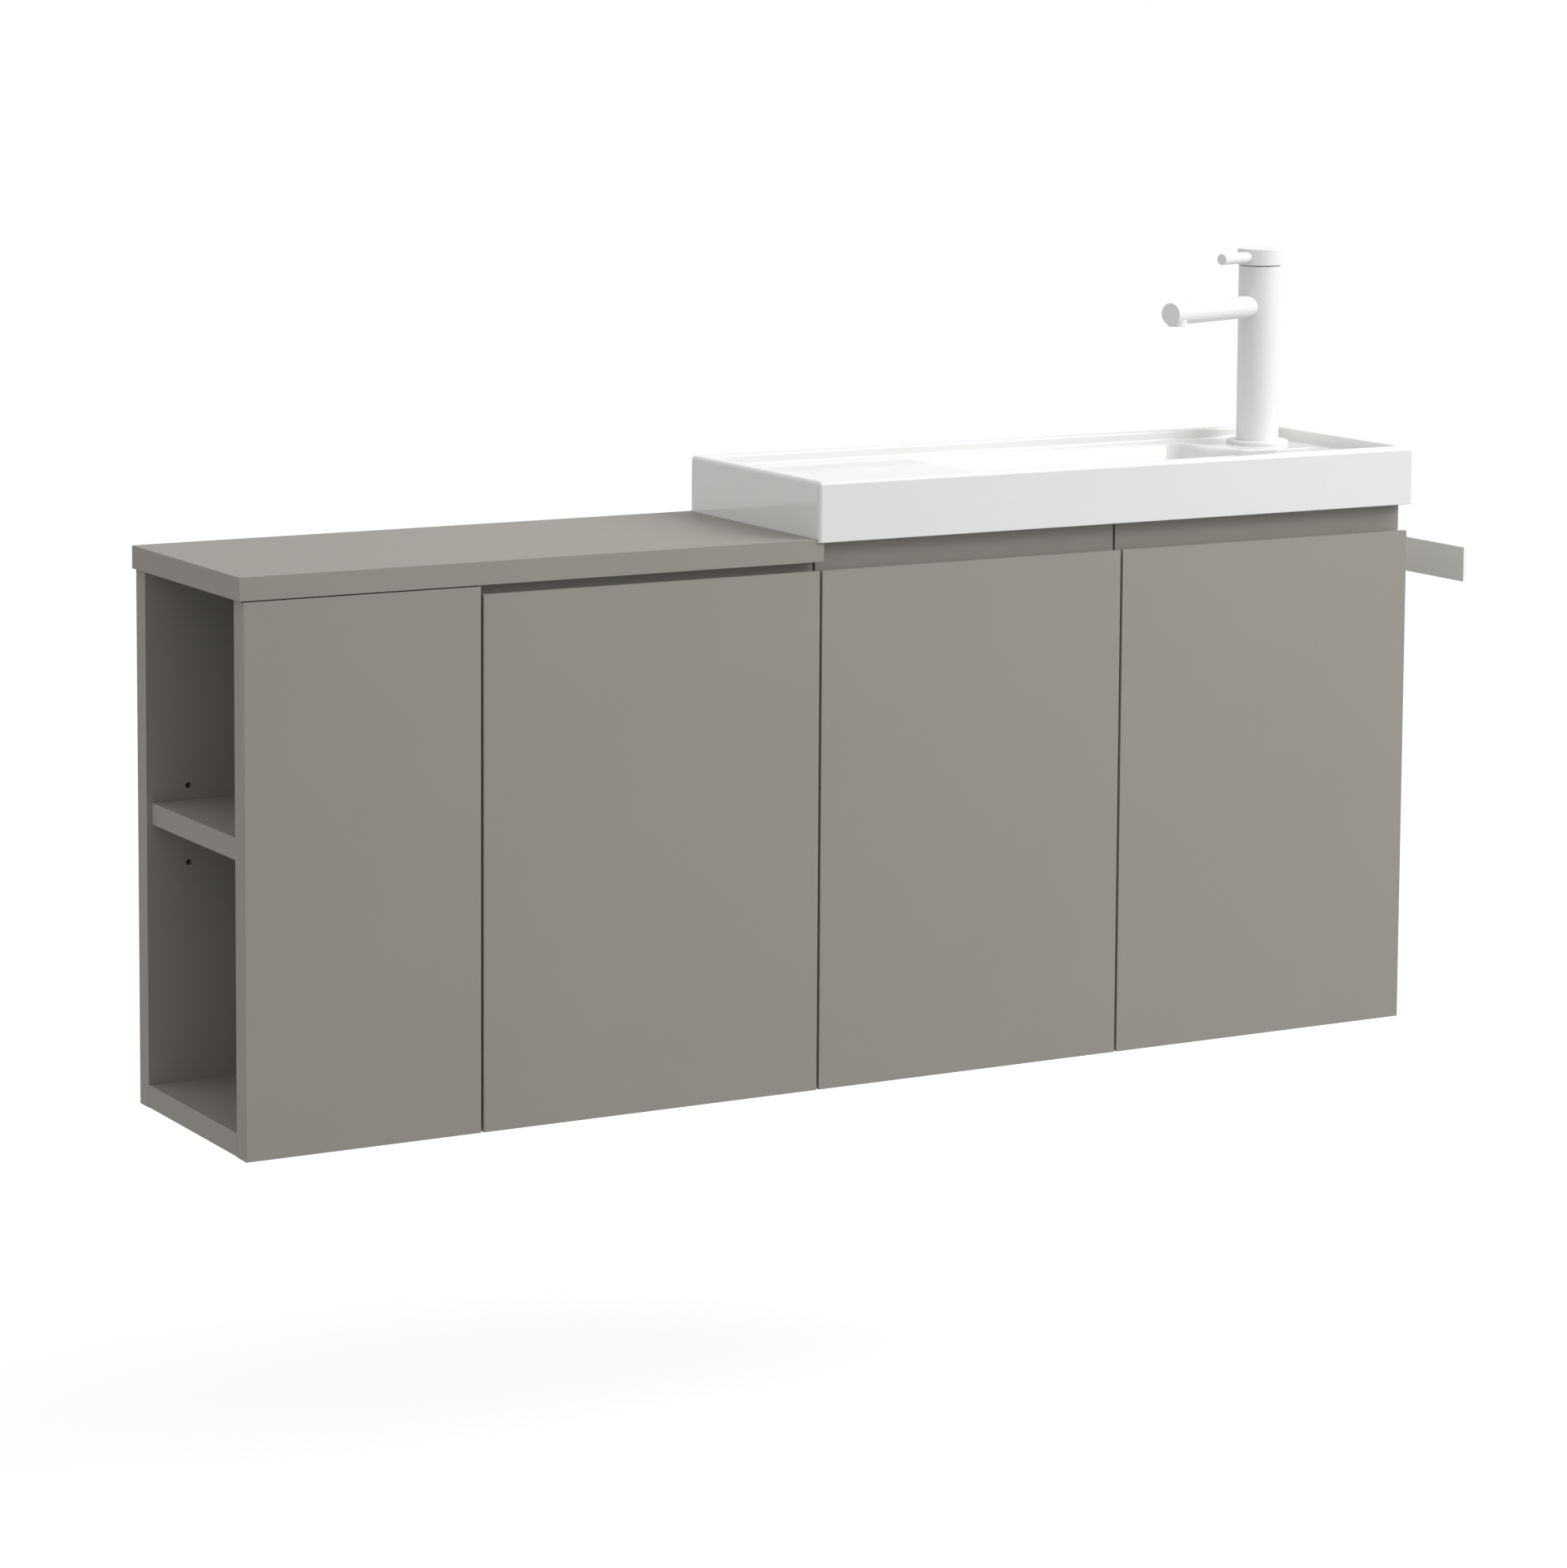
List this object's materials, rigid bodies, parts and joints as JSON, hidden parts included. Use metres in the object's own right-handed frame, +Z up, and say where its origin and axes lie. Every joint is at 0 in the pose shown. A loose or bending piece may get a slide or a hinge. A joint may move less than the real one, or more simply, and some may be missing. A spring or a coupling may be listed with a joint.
{
  "type": "wall-hung vanity unit",
  "caption": "Wall-hung bathroom vanity with an open end niche, handle-less doors, a ceramic basin with a lever tap and a side towel bar.",
  "frame": {"origin": "midpoint of the two bolt holes in the sink cabinet's wall rail, on the wall plane", "axes": "+Z up, +Y into the wall, -Y towards the user, +X towards the towel bar"},
  "size_m": [1.1961, 0.2625, 0.6806],
  "materials": {
    "front_lacquer": "satin lacquer on board, warm grey",
    "carcass_board": "melamine-faced board, warm grey",
    "nickel_steel": "nickel-plated steel",
    "zinc_steel": "zinc-plated steel",
    "white_glaze": "gloss white glaze",
    "satin_white": "satin white coat on brass",
    "chrome": "polished chrome on brass",
    "white_plastic": "white plastic",
    "black_rubber": "black rubber",
    "beech": "plain beech",
    "bar_metal": "satin light grey metal"
  },
  "bodies": {
    "cabinet": {"niche_front_panel": "front_lacquer", "niche_back_panel": "front_lacquer", "niche_side_panel": "front_lacquer", "niche_bottom_panel": "front_lacquer", "niche_shelf": "front_lacquer", "shelf_pins": "nickel_steel", "worktop": "front_lacquer", "middle_left_side": "carcass_board", "middle_right_side": "carcass_board", "middle_bottom_panel": "carcass_board", "middle_top_rail": "carcass_board", "middle_rear_rail": "carcass_board", "sink_left_side": "carcass_board", "sink_right_side": "carcass_board", "sink_bottom_panel": "carcass_board", "sink_rear_rail": "carcass_board", "hinge_arms": "nickel_steel", "hinge_plates": "nickel_steel", "hinge_plate_screws": "zinc_steel", "door_bumpers": "white_plastic", "joining_bolts": "nickel_steel", "panel_dowels": "beech", "hanging_brackets": "white_plastic", "bracket_hooks": "zinc_steel", "bracket_adjusters": "zinc_steel", "bracket_screws": "zinc_steel", "middle_wall_rail": "zinc_steel", "sink_wall_rail": "zinc_steel", "ceramic_basin": "white_glaze", "waste_body": "chrome", "waste_gasket": "black_rubber", "waste_nut": "chrome", "trap_tailpipe": "chrome", "trap_bottle": "chrome", "trap_cup": "chrome", "trap_nuts": "chrome", "outlet_pipe": "chrome", "wall_escutcheon": "chrome", "tap_foot_ring": "satin_white", "tap_body": "satin_white", "tap_spout": "satin_white", "tap_aerator": "satin_white", "tap_cartridge": "white_plastic", "tap_washer": "black_rubber", "tap_nut": "chrome", "towel_bar": "bar_metal", "towel_bar_screws": "nickel_steel"},
    "middle_door": {"middle_door": "front_lacquer", "middle_hinge_cups": "nickel_steel", "middle_cup_screws": "zinc_steel"},
    "left_sink_door": {"left_sink_door": "front_lacquer", "left_hinge_cups": "nickel_steel", "left_cup_screws": "zinc_steel"},
    "right_sink_door": {"right_sink_door": "front_lacquer", "right_hinge_cups": "nickel_steel", "right_cup_screws": "zinc_steel"},
    "tap_handle": {"tap_cap": "satin_white", "tap_lever": "satin_white", "tap_stem": "chrome"},
    "waste_plug": {"waste_plug": "chrome"}
  },
  "joints": [
    {"name": "middle_door_swing", "type": "hinge", "parent": "cabinet", "child": "middle_door", "pos_m": [-0.30375, -0.2175, -0.18], "axis": [0, 0, 1], "range_deg": [0, 90]},
    {"name": "left_sink_door_swing", "type": "hinge", "parent": "cabinet", "child": "left_sink_door", "pos_m": [-0.29625, -0.2175, -0.18], "axis": [0, 0, -1], "range_deg": [0, 90]},
    {"name": "right_sink_door_swing", "type": "hinge", "parent": "cabinet", "child": "right_sink_door", "pos_m": [0.2975, -0.2175, -0.18], "axis": [0, 0, 1], "range_deg": [0, 105]},
    {"name": "tap_turn", "type": "hinge", "parent": "cabinet", "child": "tap_handle", "pos_m": [0.2525, -0.057, 0.272], "axis": [0, 0, 1], "range_deg": [0, 90]},
    {"name": "plug_lift", "type": "slide", "parent": "cabinet", "child": "waste_plug", "axis": [0, 0, 1], "range_m": [0, 0.008]}
  ]
}
